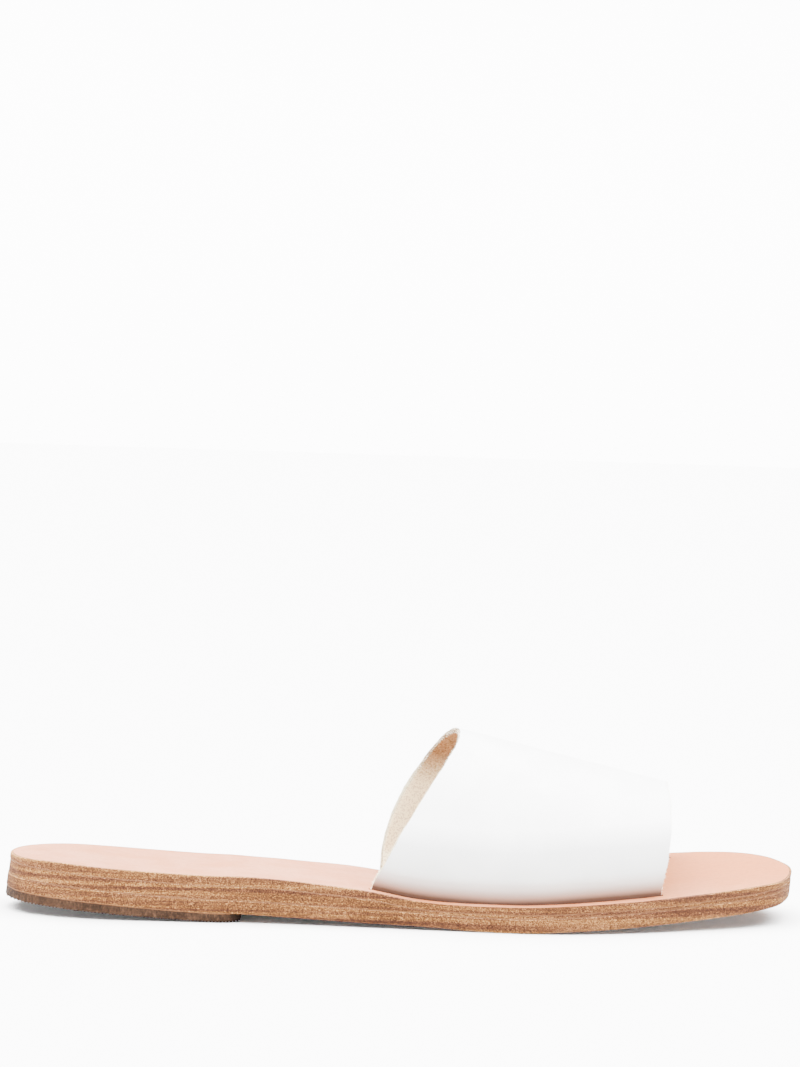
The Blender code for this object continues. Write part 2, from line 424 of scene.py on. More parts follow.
def tinted(colour, tint):
    """The colour with each channel multiplied by its own factor."""
    return tuple(channel * share for channel, share in zip(tuple(colour), tint))


EDGE_PATTERNS = {
    # size, detail, roughness, scale along, across and up, weight
    "patch": (20 * MM, 2.0, 0.5, (0.5, 0.5, 3.0), 0.30),
    "grain": (0.36 * MM, 1.0, 0.6, (0.9, 0.9, 1.0), 0.84),
    "fibre": (0.9 * MM, 3.0, 0.7, (0.4, 0.4, 1.0), 0.16),
    "layers": (1.5 * MM, 2.0, 0.6, (0.012, 0.012, 1.0), 0.50),
}
EDGE_MIDDLE = 0.40  # taken off the patterns' sum to bring it round 0.5
EDGE_TONES = (
    # place in the sum, factors on the tan's red, green and blue
    (0.29, (0.33, 0.33, 0.42)),
    (0.42, (0.62, 0.61, 0.74)),
    (0.50, (1.0, 1.0, 1.0)),
    (0.58, (1.7, 1.8, 1.65)),
    (0.72, (3.6, 4.5, 4.8)),
)
REDDISH, GOLDEN = (0.88, 0.84, 1.0), (1.0, 1.0, 0.88)
PALER_ENDS = (0.085, 0.125, 0.0, 0.03)  # from and to this far from the middle, by how much


def raw_edge_leather(name, tan):
    """The cut edge of sole leather: speckled fibres in layers that run along the sole."""
    finish = Finish(name, 0.85, Specular_IOR_Level=0.06)
    patterns = {}
    ends = finish.math("ABSOLUTE", finish.axis("X"))
    mixed = finish.spread(ends, *PALER_ENDS)
    for kind, (size, detail, roughness, scale, weight) in EDGE_PATTERNS.items():
        patterns[kind] = finish.noise(size, detail, finish.stretched(scale), roughness)
        mixed = finish.math("ADD", mixed, finish.math("MULTIPLY", patterns[kind], weight))
    mixed = finish.math("SUBTRACT", mixed, EDGE_MIDDLE)
    tone = finish.ramp(mixed, *((place, tinted(tan, tint)) for place, tint in EDGE_TONES))
    reddish = finish.blend(1.0, tone, REDDISH, "MULTIPLY")
    golden = finish.blend(1.0, tone, GOLDEN, "MULTIPLY")
    layers = finish.spread(patterns["layers"], 0.40, 0.60)
    finish.colour(finish.blend(layers, reddish, golden))
    fine = finish.bump(patterns["grain"], 0.26 * MM)
    finish.bump(patterns["fibre"], 0.22 * MM, after=fine)
    return finish.material


def smooth_footbed_leather(heel, toe):
    """Blush vegetable-tanned leather: faint pores, cloudy, deeper to the toe and inner side."""
    finish = Finish("footbed_leather", 0.5, Specular_IOR_Level=0.25)
    near = finish.spread(finish.axis("Y"), -0.04, 0.0, 0.3, 1.0)
    along = finish.math("MULTIPLY", finish.spread(finish.axis("X"), -0.06, 0.10), near)
    inner = finish.spread(finish.axis("Y"), -0.01, 0.035, 0.0, 0.35)
    cloud = finish.noise(11 * MM, 3.0)
    pores = finish.cells(0.5 * MM)
    mottle = finish.noise(1.4 * MM, 3.0, None, 0.7)
    tone = finish.blend(along, heel, toe)
    tone = finish.blend(inner, tone, toe)
    tone = finish.blend(finish.spread(cloud, 0.35, 0.7, 0.0, 0.7), tone, scaled(toe, 0.95))
    tone = finish.blend(finish.spread(mottle, 0.40, 0.62, 0.0, 0.32), tone, scaled(toe, 0.6))
    finish.colour(tone)
    fine = finish.bump(pores, 0.03 * MM)
    finish.bump(cloud, 0.25 * MM, after=fine)
    return finish.material


# The band's skin is painted with shade, warmed by a painted reflection of the footbed, from the
# slot's mouth up
SLOT_REAR, SLOT_FRONT, SLOT_TOP = -20 * MM, 100 * MM, 20 * MM
SLOT_SHADE_LEVELS = (
    # share of the way from SLOT_REAR to SLOT_FRONT, height of the slot's mouth / SLOT_TOP, where
    # the band's painted shade is darkest
    (0.0, 0.66),
    (0.06, 0.60),
    (0.125, 0.525),
    (0.21, 0.465),
    (0.29, 0.435),
    (0.375, 0.42),
    (0.46, 0.435),
    (0.625, 0.51),
    (0.79, 0.57),
    (0.9, 0.60),
    (1.0, 0.64),
)
# unit of height above the slot's mouth for the painted shade on the band's skin
SKIN_SHADE_FADE = 40 * MM
SKIN_SHADE_TONES = (
    # height above the slot's mouth / SKIN_SHADE_FADE, colour of the painted shade
    (0.035, (0.25, 0.15, 0.11)),
    (0.11, (0.42, 0.37, 0.34)),
    (0.20, (0.50, 0.50, 0.485)),
    (0.40, (0.62, 0.62, 0.62)),
    (0.58, (0.95, 0.95, 0.95)),
)
SKIN_WHITE = 0.68


def white_strap_leather(white, low):
    """White pigmented leather: nearly smooth, with painted shade and a painted warm reflection of
    the footbed low down where it enters the slot.
    """
    finish = Finish("strap_skin", 0.5, Specular_IOR_Level=0.35)
    cloud = finish.noise(14 * MM, 2.0)
    along = finish.spread(finish.axis("X"), SLOT_REAR, SLOT_FRONT, curve="LINEAR")
    slot = finish.tree.nodes.new("ShaderNodeFloatCurve")
    levels = slot.mapping.curves[0].points
    levels[0].location, levels[1].location = SLOT_SHADE_LEVELS[0], SLOT_SHADE_LEVELS[-1]
    for spot in SLOT_SHADE_LEVELS[1:-1]:
        levels.new(*spot)
    slot.mapping.update()
    finish.put(slot.inputs["Value"], along)
    level = finish.math("MULTIPLY", slot.outputs[0], SLOT_TOP)
    height = finish.math("SUBTRACT", finish.axis("Z"), level)
    rise = finish.math("MULTIPLY", height, 1 / SKIN_SHADE_FADE)
    # painted shade: darkest and warmest at the slot's mouth, the band's white from SKIN_WHITE up
    shaded = finish.ramp(rise, (0.0, low), *SKIN_SHADE_TONES, (SKIN_WHITE, white))
    dim = finish.spread(cloud, 0.3, 0.7)
    finish.colour(finish.blend(dim, shaded, scaled(white, 0.97), "MULTIPLY"))
    fine = finish.bump(finish.cells(0.45 * MM), 0.015 * MM)
    finish.bump(cloud, 0.2 * MM, after=fine)
    return finish.material


# heights over which painted shade, in tan, covers the flesh side under the band's crest
SUEDE_SHADE_FROM, SUEDE_SHADE_TO = 37 * MM, 51 * MM


def suede(name, cream, brown):
    """The flesh side of the strap: cream nap with brown specks, with painted shade in tan under
    the crest.
    """
    finish = Finish(name, 0.95, Specular_IOR_Level=0.04)
    nap = finish.noise(0.7 * MM, 4.0, None, 0.7)
    specks = finish.noise(0.55 * MM, 2.0, None, 0.6)
    height = finish.spread(finish.axis("Z"), SUEDE_SHADE_FROM, SUEDE_SHADE_TO)
    # the painted shade: lighter and darker copies of the speck colour, broken by the nap
    shaded = finish.blend(finish.spread(nap, 0.38, 0.62), scaled(brown, 1.5), scaled(brown, 0.6))
    tone = finish.blend(height, cream, shaded)
    share = finish.spread(height, 0.0, 1.0, 0.42, 0.65)
    spots = finish.math("MULTIPLY", finish.spread(specks, 0.50, 0.57), share)
    finish.colour(finish.blend(spots, tone, brown))
    finish.bump(nap, 0.35 * MM)
    return finish.material


def loose_fibre(cream):
    """The pale fibres that stand out of the strap's raw edges."""
    finish = Finish("loose_fibre", 0.9, Specular_IOR_Level=0.05)
    finish.colour(finish.blend(finish.noise(1.5 * MM), cream, (0.97, 0.96, 0.94)))
    return finish.material


FRAY_LEAN = math.radians(40)


def heel_rubber(brown):
    """The rough brown rubber of the heel piece, scratched aslant, with painted shade at its front.
    """
    finish = Finish("heel_rubber", 0.85, Specular_IOR_Level=0.08)
    grain = finish.noise(0.6 * MM, 3.0, finish.stretched((1.0, 1.0, 0.4), FRAY_LEAN), 0.7)
    cloud = finish.noise(5 * MM, 2.0)
    tone = finish.blend(finish.spread(cloud, 0.35, 0.65), scaled(brown, 0.7), scaled(brown, 1.15))
    tone = finish.blend(finish.spread(grain, 0.52, 0.68, 0.0, 0.7), tone, scaled(brown, 2.6))
    tone = finish.blend(finish.spread(grain, 0.46, 0.34, 0.0, 0.7), tone, scaled(brown, 0.35))
    # painted shade on the front end of the heel piece, where it faces the gap under the arch
    front = finish.spread(finish.axis("X"), LIFT_FRONT - 5 * MM, LIFT_FRONT - MM, 0.0, 0.75)
    finish.colour(finish.blend(front, tone, scaled(brown, 0.35)))
    finish.bump(grain, 0.5 * MM)
    return finish.material


def joint_glue(tan):
    """The dried glue that shows as a thin line between two layers."""
    finish = Finish("joint_glue", 0.7, Specular_IOR_Level=0.08)
    grain = finish.noise(0.5 * MM, 2.0)
    finish.colour(finish.blend(grain, scaled(tan, 0.8), tan))
    finish.bump(grain, 0.1 * MM)
    return finish.material


# Settings that a user would change


def length(name, text, millimetres):
    """A size, given here in millimetres and kept in metres."""
    return bpy.props.FloatProperty(
        name=name, description=text, default=millimetres * MM, subtype="DISTANCE", unit="LENGTH"
    )


def shade(name, text, colour):
    """A colour, in linear red, green and blue."""
    return bpy.props.FloatVectorProperty(
        name=name, description=text, default=colour, subtype="COLOR", min=0.0, max=1.0, size=3
    )


class SandalSoleSettings(bpy.types.PropertyGroup):
    edge_steps: bpy.props.IntProperty(
        name="Edge steps", description="Steps along each side of the sole", default=310, min=40
    )
    rim_round: length("Rim round", "Rounding of each layer's cut rim", 0.22)
    footbed_round: length("Footbed round", "Rounding of the footbed's upper rim", 0.35)
    bare_rim: length("Bare rim", "Tan border round the blush footbed", 0.9)
    slot_rim: length("Slot rim", "Tan border of the footbed outside its slots", 1.2)
    edge_wave: length("Edge wave", "How uneven the sanded edge is", 0.07)
    end_radius: length("End radius", "Where the surface's rings gather at heel and toe", 26.0)
    tan: shade("Tan", "Cut edge of the sole leather", (0.070, 0.0275, 0.0098))
    pale: shade("Pale rim", "Rubbed rims of the sole's layers", (0.150, 0.068, 0.030))
    blush_heel: shade("Blush heel", "Footbed at the heel", (0.48, 0.19, 0.095))
    blush_toe: shade("Blush toe", "Footbed at the toe", (0.42, 0.128, 0.036))
    glue: shade("Joint", "Pale line in the joints", (0.135, 0.058, 0.023))


class SandalBandSettings(bpy.types.PropertyGroup):
    levels: bpy.props.IntProperty(
        name="Levels", description="Subdivision of the band", default=3, min=1, max=4
    )
    rim_round: length("Rim round", "Rounding of the cut rim", 0.28)
    edge_wave: length("Edge wave", "How uneven the raw edges are", 0.42)
    fibres: bpy.props.IntProperty(
        name="Fibres", description="Loose fibres on the raw edges", default=5200, min=0
    )
    fibre_length: length("Fibre length", "The longest loose fibre", 0.95)
    white: shade("White", "Grain side of the band", (0.96, 0.96, 0.96))
    # colour of the painted shade and painted reflection of the footbed on the band's skin at the
    # slot's mouth
    low: shade("Low", "Grain side where it enters the footbed", (0.060, 0.028, 0.016))
    cream: shade("Cream", "Flesh side of the band", (1.0, 0.91, 0.58))
    # the speck colour also gives the painted shade on the flesh side under the crest
    speck: shade("Speck", "Specks in the flesh side", (0.25, 0.145, 0.066))


class SandalLiftSettings(bpy.types.PropertyGroup):
    rib_pitch: length("Rib pitch", "From rib to rib under the heel piece", 1.1)
    rib_depth: length("Rib depth", "Height of the ribs under the heel piece", 0.6)
    brown: shade("Brown", "Rubber of the heel piece", (0.027, 0.0135, 0.0075))


class SandalStageSettings(bpy.types.PropertyGroup):
    distance: length("Camera distance", "From the sole's middle to the camera", 1100.0)
    elevation: bpy.props.FloatProperty(
        name="Elevation", description="Camera above the floor", default=math.radians(8.41),
        subtype="ANGLE",
    )
    turn: bpy.props.FloatProperty(
        name="Turn", description="Camera towards the heel", default=math.radians(7.5),
        subtype="ANGLE",
    )
    roll: bpy.props.FloatProperty(
        name="Roll", description="Camera rolled clockwise", default=math.radians(-2.02),
        subtype="ANGLE",
    )
    lens: bpy.props.FloatProperty(
        name="Lens", description="Focal length on a 36 mm sensor", default=112.8, unit="CAMERA"
    )
    horizon: bpy.props.FloatProperty(name="Horizon", description="Light low down", default=13.0)
    walls: bpy.props.FloatProperty(name="Walls", description="Light half way up", default=2.2)
    front: bpy.props.FloatProperty(name="Front", description="Share in front", default=0.85)
    overhead: bpy.props.FloatProperty(name="Overhead", description="Light above", default=23.0)


# The sole layers

# Rings of a layer: shares of the way in over its underside and its top, shares of the way
# up its side, and angles round its rims
UNDER_SHARES = (1, 0.85, 0.65, 0.4, 0.15, 0.04)
SIDE_SHARES = (0.2, 0.4, 0.6, 0.8)
TOP_SHARES = (0.02, 0.06, 0.12, 0.2, 0.3, 0.42, 0.55, 0.7, 0.85, 1)
UNDER_RIM, TOP_RIM = np.radians((0, 30, 60, 90)), np.radians((90, 67, 45, 22, 0))

WAVE_SEEDS = {"outsole": 7, "midsole": 7, "insole": 6}

JOINT_DEPTH = 1.2 * MM
JOINT_WAVE, JOINT_UNEVEN, JOINT_SEED = 2.2 * MM, 0.12 * MM, 11
FLAT_SHADE_ANGLE = 40  # degrees
SIDE_FACING, RIM_FACING = 0.3, 0.95  # steepness of a rim's faces, between side and top


def layer_rings(settings, node, top_round):
    """A layer's rings, from the middle of its underside out, up its edge and in over its top."""
    under, top = Rim(node, DOWN), Rim(node, UP)
    low_round = settings.rim_round

    def ring(rim, inset, lift=0.0, share=0.0):
        edge, out = rim.worn_ring(settings, WAVE_SEEDS[node])
        plan = edge - out * inset
        plan = plan + (rim.spine(edge, settings.end_radius) - plan) * share
        return np.column_stack([plan, rim.z(plan[:, 0], plan[:, 1]) + lift])

    rings = [ring(under, low_round, share=share) for share in UNDER_SHARES]
    for angle in UNDER_RIM:
        inset = low_round * (1 - math.sin(angle))
        rings.append(ring(under, inset, low_round * (1 - math.cos(angle))))
    foot, head = rings[-1], ring(top, 0, -top_round)
    for share in SIDE_SHARES:
        rings.append(foot + (head - foot) * share)
    for angle in TOP_RIM:
        inset = top_round * (1 - math.sin(angle))
        rings.append(ring(top, inset, -top_round * (1 - math.cos(angle))))
    for share in TOP_SHARES:
        rings.append(ring(top, top_round, share=share))
    return rings


def joint_line(name, lower, upper, settings):
    """The glued joint between two layers: a thin pale line that fills it near the edge."""
    under, over = Rim(lower, UP), Rim(upper, DOWN)
    narrow = under if under.y(0, INNER) < over.y(0, INNER) else over
    edge = narrow.ring(settings.edge_steps)
    out = outward(edge)
    flat = np.column_stack([edge, np.zeros(len(edge))])
    uneven = JOINT_UNEVEN * (1 + rough(flat, JOINT_WAVE, JOINT_SEED))
    rings = []
    for inset, share in ((1, 0), (0, 0), (0, 1), (1, 1), (1, 0)):
        plan = edge - out * (inset * JOINT_DEPTH + uneven)[:, None]
        low = under.z(plan[:, 0], plan[:, 1])
        high = over.z(plan[:, 0], plan[:, 1])
        rings.append(np.column_stack([plan, low + (high - low) * share]))
    return sweep_rings(name, rings)


def side_or_rim(centre, normal):
    """The material of a sole layer's face: 1 on its rounded rims, else 0."""
    return 1 if SIDE_FACING < abs(normal.z) < RIM_FACING else 0


class SANDAL_OT_sole(bpy.types.Operator):
    """Builds the outsole, the wedge layer and the pale lines in the joints"""

    bl_idname = "sandal.sole"
    bl_label = "Sole layers"

    def execute(self, context):
        settings = context.scene.sandal_sole
        leather = raw_edge_leather("sole_edge", settings.tan)
        rim = raw_edge_leather("sole_rim", settings.pale)
        for name, node, slot in (
            ("sole_layer", "outsole", "sole_leather"),
            ("wedge_layer", "midsole", "wedge_leather"),
        ):
            made = sweep_rings(name, layer_rings(settings, node, settings.rim_round))
            smooth_shading(made, FLAT_SHADE_ANGLE)
            finish_piece(made, node, slot, leather, rim)
            paint_faces(made, side_or_rim)
        glue = joint_glue(settings.glue)
        for name, lower, upper in (
            ("joint_low", "outsole", "midsole"),
            ("joint_high", "midsole", "insole"),
            ("joint_heel", "heel_lift", "outsole"),
        ):
            made = joint_line(name, lower, upper, settings)
            smooth_shading(made, FLAT_SHADE_ANGLE)
            finish_piece(made, None, "wedge_leather", glue)
        return {"FINISHED"}


BARE_SIDE, BLUSH, BARE_RIM = 0, 1, 2


class SANDAL_OT_footbed(bpy.types.Operator):
    """Builds the blush footbed with its two slots"""

    bl_idname = "sandal.footbed"
    bl_label = "Footbed"

    def execute(self, context):
        settings = context.scene.sandal_sole
        made = sweep_rings("footbed", layer_rings(settings, "insole", settings.footbed_round))
        top = Rim("insole", UP)
        for loop in edge_loops("insole", UP)[1:3]:
            cut_slot(made, loop, top)
        smooth_shading(made, FLAT_SHADE_ANGLE)
        finish_piece(
            made,
            "insole",
            "footbed_leather",
            raw_edge_leather("footbed_edge", settings.tan),
            smooth_footbed_leather(settings.blush_heel, settings.blush_toe),
            raw_edge_leather("footbed_rim", settings.pale),
        )
        ring = top.ring(settings.edge_steps)
        nearest = KDTree(len(ring))
        for number, (x, y) in enumerate(ring):
            nearest.insert((x, y, 0), number)
        nearest.balance()

        def part_of(centre, normal):
            if abs(normal.z) < SIDE_FACING:
                return BARE_SIDE
            inset = nearest.find((centre.x, centre.y, 0))[2]
            along = (centre.x - STRAP_LOW.x) / (STRAP_HIGH.x - STRAP_LOW.x)
            # the tan border is widest half way along the slots
            if 0 < along < 1 and inset < settings.slot_rim * math.sin(math.pi * along):
                return BARE_SIDE
            return BARE_RIM if inset < settings.bare_rim else BLUSH

        paint_faces(made, part_of)
        return {"FINISHED"}


# The slot cutter's rings: height over the footbed and flare, in mm
SLOT_CUTTER = ((-9, 0.0), (-0.45, 0.0), (-0.2, 0.08), (-0.05, 0.22), (0.3, 0.6), (2, 0.6))


def cut_slot(piece, loop, top):
    """Cuts a slot whose rim is a little rounded, by a cutter that flares at the surface."""
    plan = loop[:, :2]
    out = outward(plan)
    after = np.roll(plan, -1, 0)
    area = np.sum(plan[:, 0] * after[:, 1] - plan[:, 1] * after[:, 0])
    out = out * (1 if area > 0 else -1)
    rings = []
    for lift, flare in SLOT_CUTTER:
        ring = plan + out * flare * MM
        rings.append(np.column_stack([ring, top.z(plan[:, 0], plan[:, 1]) + lift * MM]))
    cutter = sweep_rings("slot_cutter", rings)
    select_only(cutter)
    bpy.ops.object.mode_set(mode="EDIT")
    bpy.ops.mesh.select_all(action="SELECT")
    bpy.ops.mesh.fill_holes(sides=0)
    bpy.ops.mesh.select_all(action="SELECT")
    bpy.ops.mesh.normals_make_consistent(inside=False)
    bpy.ops.object.mode_set(mode="OBJECT")
    cut = piece.modifiers.new("slot", "BOOLEAN")
    cut.object = cutter
    apply_modifiers(piece)
    bpy.data.objects.remove(cutter)


# The band

SAME_CORNER = 1e-6
PAIR_FACE, PAIR_SHAPE = math.radians(60), math.radians(80)
CAGE_ROUNDS = 4
SHARP = 50  # the degrees at which the band's rim turns
CUT_FACING = 0.75
WORN_DEPTH = 3 * MM
WORN_FROM, WORN_RISE = 16 * MM, 6 * MM  # the raw edges are straight where they enter the slots
WEAR_LONG, WEAR_SHORT = (7 * MM, 5), (1.5 * MM, 9)  # size, seed
WEAR_SHORT_SHARE = 0.55
BAND_HUB = Vector((0, 0.001, 0.012))  # in the middle, between the band's two feet
SKIN_FACING, SUEDE_FACING = 0.45, -0.55  # how much a face looks away from the hub
SKIN, SUEDE, CUT = 0, 1, 2
FUZZ_FROM = 11 * MM
FUZZ_SEED = 4
FUZZ_LEAN = 0.55
FUZZ_SHORTEST, FUZZ_MOSTLY_SHORT = 0.3, 1.5  # share of the longest, power on the shares
FUZZ_TURNS = 6  # radians
FUZZ_ROOT, FUZZ_RADIUS = 0.05 * MM, 0.035 * MM


def joined_copy(node, name):
    """A copy of a solid with its corners joined and its triangles paired into quads."""
    made = bpy.data.objects.new(name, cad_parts[node].data.copy())
    bpy.context.scene.collection.objects.link(made)
    select_only(made)
    bpy.ops.object.mode_set(mode="EDIT")
    bpy.ops.mesh.select_all(action="SELECT")
    bpy.ops.mesh.remove_doubles(threshold=SAME_CORNER)
    bpy.ops.mesh.tris_convert_to_quads(face_threshold=PAIR_FACE, shape_threshold=PAIR_SHAPE)
    bpy.ops.object.mode_set(mode="OBJECT")
    return made


def fit_cage(obj, levels):
    """Subdivides the piece smoothly, with its cage moved so that the surface meets its corners."""
    smooth = obj.modifiers.new("smooth", "SUBSURF")
    smooth.levels = smooth.render_levels = 1
    target = get_points(obj)
    cage = target.copy()
    for _ in range(CAGE_ROUNDS):
        graph = bpy.context.evaluated_depsgraph_get()
        shown = obj.evaluated_get(graph).to_mesh()
        places = np.empty(len(shown.vertices) * 3)
        shown.vertices.foreach_get("co", places)
        cage += target - places.reshape(-1, 3)[: len(target)]
        set_points(obj, cage)
    smooth.levels = smooth.render_levels = levels
    apply_modifiers(obj)


def crease_rims(obj, degrees):
    """Keeps the edges sharp where two faces meet at more than this angle."""
    work = bmesh.new()
    work.from_mesh(obj.data)
    layers = work.edges.layers.float
    crease = layers.get("crease_edge") or layers.new("crease_edge")
    for edge in work.edges:
        if edge.calc_face_angle(0) > math.radians(degrees):
            edge[crease] = 1.0
    work.to_mesh(obj.data)
    work.free()


def wear_edges(piece, wave):
    """Moves the raw front and rear edges in and out along the sole, fading away from them."""
    faces = piece.data.polygons
    cut = [face.center.copy() for face in faces if abs(face.normal.x) > CUT_FACING]
    tree = KDTree(len(cut))
    for number, place in enumerate(cut):
        tree.insert(place, number)
    tree.balance()
    places = get_points(piece)
    away = np.array([tree.find(place)[2] for place in places])
    push = rough(places, *WEAR_LONG) + WEAR_SHORT_SHARE * rough(places, *WEAR_SHORT)
    above = np.clip((places[:, 2] - WORN_FROM) / WORN_RISE, 0, 1)
    places[:, 0] += wave * push * above * np.clip(1 - away / WORN_DEPTH, 0, 1) ** 2
    set_points(piece, places)


def side_of_band(centre, normal):
    """The material of a face of the band: its skin, its suede or its cut edge."""
    away = Vector((0, centre.y - BAND_HUB.y, centre.z - BAND_HUB.z)).normalized()
    facing = normal.dot(away)
    return SKIN if facing > SKIN_FACING else SUEDE if facing < SUEDE_FACING else CUT


def spike(foot, tip, radius, turn):
    """The four corners of one thin fibre."""
    along = (tip - foot).normalized()
    side = along.orthogonal().normalized()
    side.rotate(Quaternion(along, turn))
    third = Quaternion(along, math.radians(120))
    corners = []
    for _ in range(3):
        corners.append(foot + side * radius)
        side.rotate(third)
    return corners + [tip]


class SANDAL_OT_fuzz(bpy.types.Operator):
    """Grows short pale fibres on the band's raw edges"""

    bl_idname = "sandal.fuzz"
    bl_label = "Edge fuzz"

    def execute(self, context):
        settings = context.scene.sandal_band
        band = bpy.data.objects["band"]
        pick = random.Random(FUZZ_SEED)
        cut = [face for face in band.data.polygons if face.material_index == CUT]
        cut = [face for face in cut if face.center.z > FUZZ_FROM]
        weights = [face.area for face in cut]
        corners, faces = [], []
        for face in pick.choices(cut, weights, k=settings.fibres):
            shares = [pick.random() ** 2 for _ in face.vertices]
            foot = Vector()
            for share, number in zip(shares, face.vertices):
                foot += band.data.vertices[number].co * (share / sum(shares))
            lean = Vector([pick.gauss(0, FUZZ_LEAN) for _ in range(3)])
            long = settings.fibre_length * pick.uniform(FUZZ_SHORTEST, 1) ** FUZZ_MOSTLY_SHORT
            tip = foot + (face.normal + lean).normalized() * long
            first = len(corners)
            root = foot - face.normal * FUZZ_ROOT
            corners += spike(root, tip, FUZZ_RADIUS, pick.uniform(0, FUZZ_TURNS))
            faces += [(first + k, first + (k + 1) % 3, first + 3) for k in range(3)]
        mesh = bpy.data.meshes.new("edge_fuzz")
        mesh.from_pydata(corners, [], faces)
        made = bpy.data.objects.new("edge_fuzz", mesh)
        context.scene.collection.objects.link(made)
        finish_piece(made, None, "strap_leather", loose_fibre(settings.cream))
        return {"FINISHED"}


class SANDAL_OT_band(bpy.types.Operator):
    """Builds the white band over the instep, with its suede inside and raw edges"""

    bl_idname = "sandal.band"
    bl_label = "Band"

    def execute(self, context):
        settings = context.scene.sandal_band
        made = joined_copy("strap", "band")
        crease_rims(made, SHARP)
        fit_cage(made, settings.levels)
        rim = made.modifiers.new("rim", "BEVEL")
        rim.width = settings.rim_round
        rim.segments = 3
        rim.limit_method = "ANGLE"
        rim.angle_limit = math.radians(SHARP)
        apply_modifiers(made)
        wear_edges(made, settings.edge_wave)
        smooth_shading(made, SHARP)
        finish_piece(
            made,
            "strap",
            "strap_leather",
            white_strap_leather(settings.white, settings.low),
            suede("strap_suede", settings.cream, settings.speck),
            # the cut edge is the suede made darker all over: painted shade
            suede("strap_cut_edge_painted_shade", scaled(settings.cream, 0.45), scaled(settings.speck, 0.45)),
        )
        paint_faces(made, side_of_band)
        return {"FINISHED"}


# The heel piece

LIFT_ROWS, LIFT_COLUMNS = 300, 16
LIFT_SHADE_ANGLE = 30  # degrees


def spread_between(rim, share):
    """Plan places in a rim at shares of its length and of its width there."""
    x = rim.start + (rim.end - rim.start) * share[:, 0]
    outer, inner = rim.y(x, OUTER), rim.y(x, INNER)
    return x, outer + (inner - outer) * share[:, 1]


class SANDAL_OT_heel_piece(bpy.types.Operator):
    """Builds the brown ribbed piece under the heel"""

    bl_idname = "sandal.heel_piece"
    bl_label = "Heel piece"

    def execute(self, context):
        settings = context.scene.sandal_lift
        under, top = Rim("heel_lift", DOWN), Rim("heel_lift", UP)
        select_only()
        bpy.ops.mesh.primitive_grid_add(x_subdivisions=LIFT_ROWS, y_subdivisions=LIFT_COLUMNS)
        made = bpy.context.object
        made.name = made.data.name = "heel_piece"
        flat = get_points(made)
        share = (flat + 1) / 2
        x, y = spread_between(under, share)
        phase = (x - under.start) / settings.rib_pitch
        rib = np.abs(phase - np.floor(phase) - 0.5) * 2
        places = np.column_stack([x, y, under.z(x, y) + settings.rib_depth * rib])
        set_points(made, places)
        bpy.ops.object.mode_set(mode="EDIT")
        bpy.ops.mesh.select_all(action="SELECT")
        bpy.ops.mesh.extrude_region_move()
        bpy.ops.object.mode_set(mode="OBJECT")
        places = get_points(made)
        x, y = spread_between(top, share)
        places[len(share) :] = np.column_stack([x, y, top.z(x, y)])
        set_points(made, places)
        tidy_mesh(made)
        smooth_shading(made, LIFT_SHADE_ANGLE)
        finish_piece(made, "heel_lift", "heel_rubber", heel_rubber(settings.brown))
        return {"FINISHED"}


# The stage

FLOOR_SIZE, FLOOR_DROP = 12, 0.2 * MM
BRIGHT_BELOW, DIM_FROM, DIM_TO, BRIGHT_ABOVE = 0.11, 0.17, 0.6, 0.82  # height up the sky
FRONT_FROM, FRONT_TO = -0.95, -0.2  # where the sky goes from its front share to full


class SANDAL_OT_stage(bpy.types.Operator):
    """Adds the white floor, the soft light and the camera"""

    bl_idname = "sandal.stage"
    bl_label = "Stage"

    def execute(self, context):
        settings = context.scene.sandal_stage
        select_only()
        bpy.ops.mesh.primitive_plane_add(size=FLOOR_SIZE, location=(0, 0, -FLOOR_DROP))
        floor = context.object
        floor.name = "floor"
        paper = Finish("floor_paper", 0.9)
        paper.colour(paper.blend(paper.noise(0.4), (0.97, 0.97, 0.97), (0.98, 0.98, 0.98)))
        floor.data.materials.append(paper.material)

        world = bpy.data.worlds.new("studio")
        context.scene.world = world
        world.use_nodes = True
        soft_box_sky(world.node_tree, settings)
        add_camera(settings)
        return {"FINISHED"}


def soft_box_sky(tree, settings):
    """A white studio: bright low down all round and overhead, dimmer between."""
    place = tree.nodes.new("ShaderNodeTexCoord")
    split = tree.nodes.new("ShaderNodeSeparateXYZ")
    tree.links.new(place.outputs["Generated"], split.inputs[0])
    levels = tree.nodes.new("ShaderNodeFloatCurve")
    curve = levels.mapping.curves[0]
    curve.points[0].location = (0.0, settings.horizon / settings.overhead)
    curve.points[1].location = (1.0, 1.0)
    for height, level in (
        (BRIGHT_BELOW, settings.horizon),
        (DIM_FROM, settings.walls),
        (DIM_TO, settings.walls),
        (BRIGHT_ABOVE, settings.overhead),
    ):
        curve.points.new(height, level / settings.overhead)
    levels.mapping.update()
    tree.links.new(split.outputs["Z"], levels.inputs["Value"])
    scale = tree.nodes.new("ShaderNodeMath")
    scale.operation = "MULTIPLY"
    scale.inputs[1].default_value = settings.overhead
    tree.links.new(levels.outputs[0], scale.inputs[0])
    front = tree.nodes.new("ShaderNodeMapRange")
    front.interpolation_type = "SMOOTHSTEP"
    for number, value in enumerate((FRONT_FROM, FRONT_TO, settings.front, 1.0)):
        front.inputs[number + 1].default_value = value
    tree.links.new(split.outputs["Y"], front.inputs[0])
    both = tree.nodes.new("ShaderNodeMath")
    both.operation = "MULTIPLY"
    tree.links.new(scale.outputs[0], both.inputs[0])
    tree.links.new(front.outputs[0], both.inputs[1])
    sky = tree.nodes["Background"]
    sky.inputs["Color"].default_value = (1, 1, 1, 1)
    tree.links.new(both.outputs[0], sky.inputs["Strength"])


IMAGE_WIDTH, IMAGE_HEIGHT = 800, 1067
SOLE_MIDDLE = Vector((0, 0, 15 * MM))
SOLE_MIDDLE_PX = Vector((405.8, 865.1))
SENSOR = 36.0  # mm


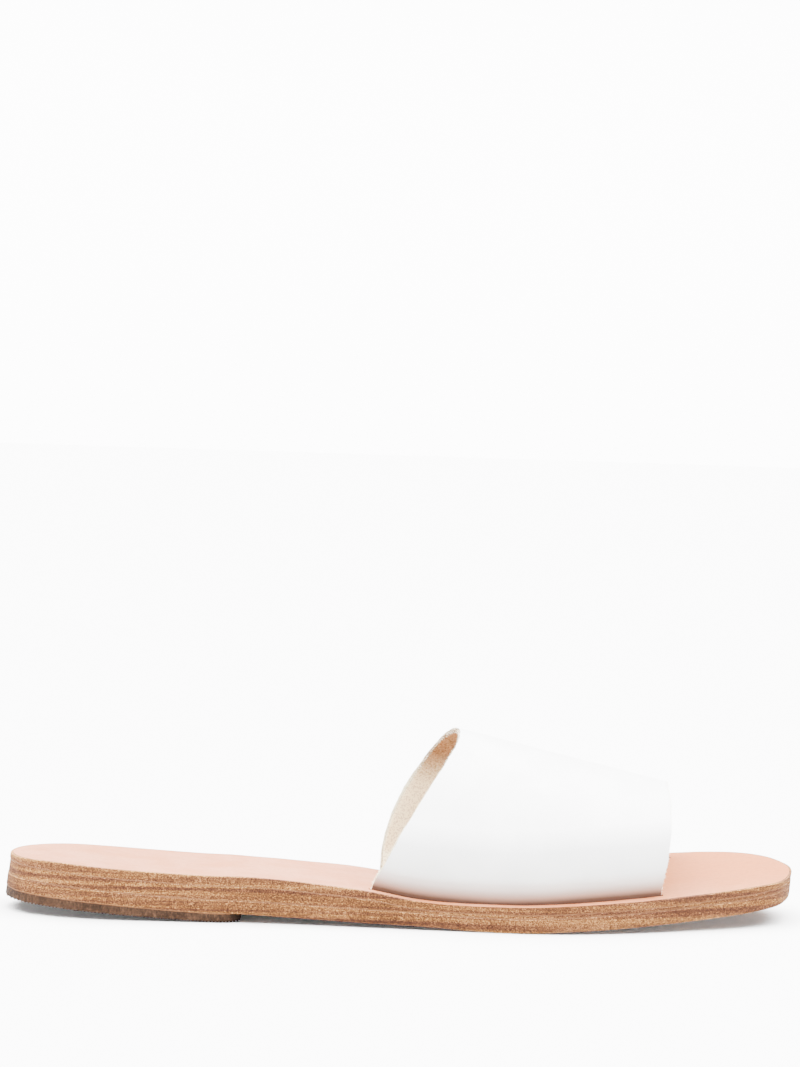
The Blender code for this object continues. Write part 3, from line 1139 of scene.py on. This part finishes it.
def add_camera(settings):
    """The photo's view of the sole's middle, aimed higher so that the sandal sits low."""
    side, tilt, roll = settings.turn, settings.elevation, settings.roll
    level = Vector((math.sin(side), math.cos(side), 0))
    ahead = level * math.cos(tilt) - Vector((0, 0, 1)) * math.sin(tilt)
    right = Vector((math.cos(side), -math.sin(side), 0))
    above = right.cross(ahead)
    data = bpy.data.cameras.new("camera")
    data.sensor_width = SENSOR
    data.lens = settings.lens
    data.clip_start, data.clip_end = 0.01, 50
    camera = bpy.data.objects.new("camera", data)
    bpy.context.scene.collection.objects.link(camera)
    bpy.context.scene.camera = camera
    camera.location = SOLE_MIDDLE - ahead * settings.distance
    across = right * math.cos(roll) - above * math.sin(roll)
    up = right * math.sin(roll) + above * math.cos(roll)
    focal = settings.lens / SENSOR * IMAGE_HEIGHT
    off = (SOLE_MIDDLE_PX - Vector((IMAGE_WIDTH, IMAGE_HEIGHT)) / 2) / focal
    aim = (ahead + up * off.y - across * off.x).normalized()
    across = aim.cross(up).normalized()
    up = across.cross(aim)
    turn = Matrix((across, up, -aim)).transposed()
    camera.rotation_euler = turn.to_euler()


PIECES = (
    SANDAL_OT_sole,
    SANDAL_OT_footbed,
    SANDAL_OT_heel_piece,
    SANDAL_OT_band,
    SANDAL_OT_fuzz,
    SANDAL_OT_stage,
)


class SANDAL_PT_panel(bpy.types.Panel):
    """Lists the pieces of the sandal"""

    bl_idname = "SANDAL_PT_panel"
    bl_label = "Slide sandal"
    bl_space_type = "VIEW_3D"
    bl_region_type = "UI"
    bl_category = "Sandal"

    def draw(self, context):
        for piece in PIECES:
            self.layout.operator(piece.bl_idname)


SETTINGS = {
    "sandal_sole": SandalSoleSettings,
    "sandal_band": SandalBandSettings,
    "sandal_lift": SandalLiftSettings,
    "sandal_stage": SandalStageSettings,
}


def register():
    for group in (*SETTINGS.values(), *PIECES, SANDAL_PT_panel):
        bpy.utils.register_class(group)
    for name, group in SETTINGS.items():
        setattr(bpy.types.Scene, name, bpy.props.PointerProperty(type=group))


def unregister():
    for name in SETTINGS:
        delattr(bpy.types.Scene, name)
    for group in (SANDAL_PT_panel, *PIECES[::-1], *SETTINGS.values()):
        bpy.utils.unregister_class(group)


def main():
    register()
    bpy.ops.sandal.sole()
    bpy.ops.sandal.footbed()
    bpy.ops.sandal.heel_piece()
    bpy.ops.sandal.band()
    bpy.ops.sandal.fuzz()
    bpy.ops.sandal.stage()


if __name__ == "__main__":
    main()
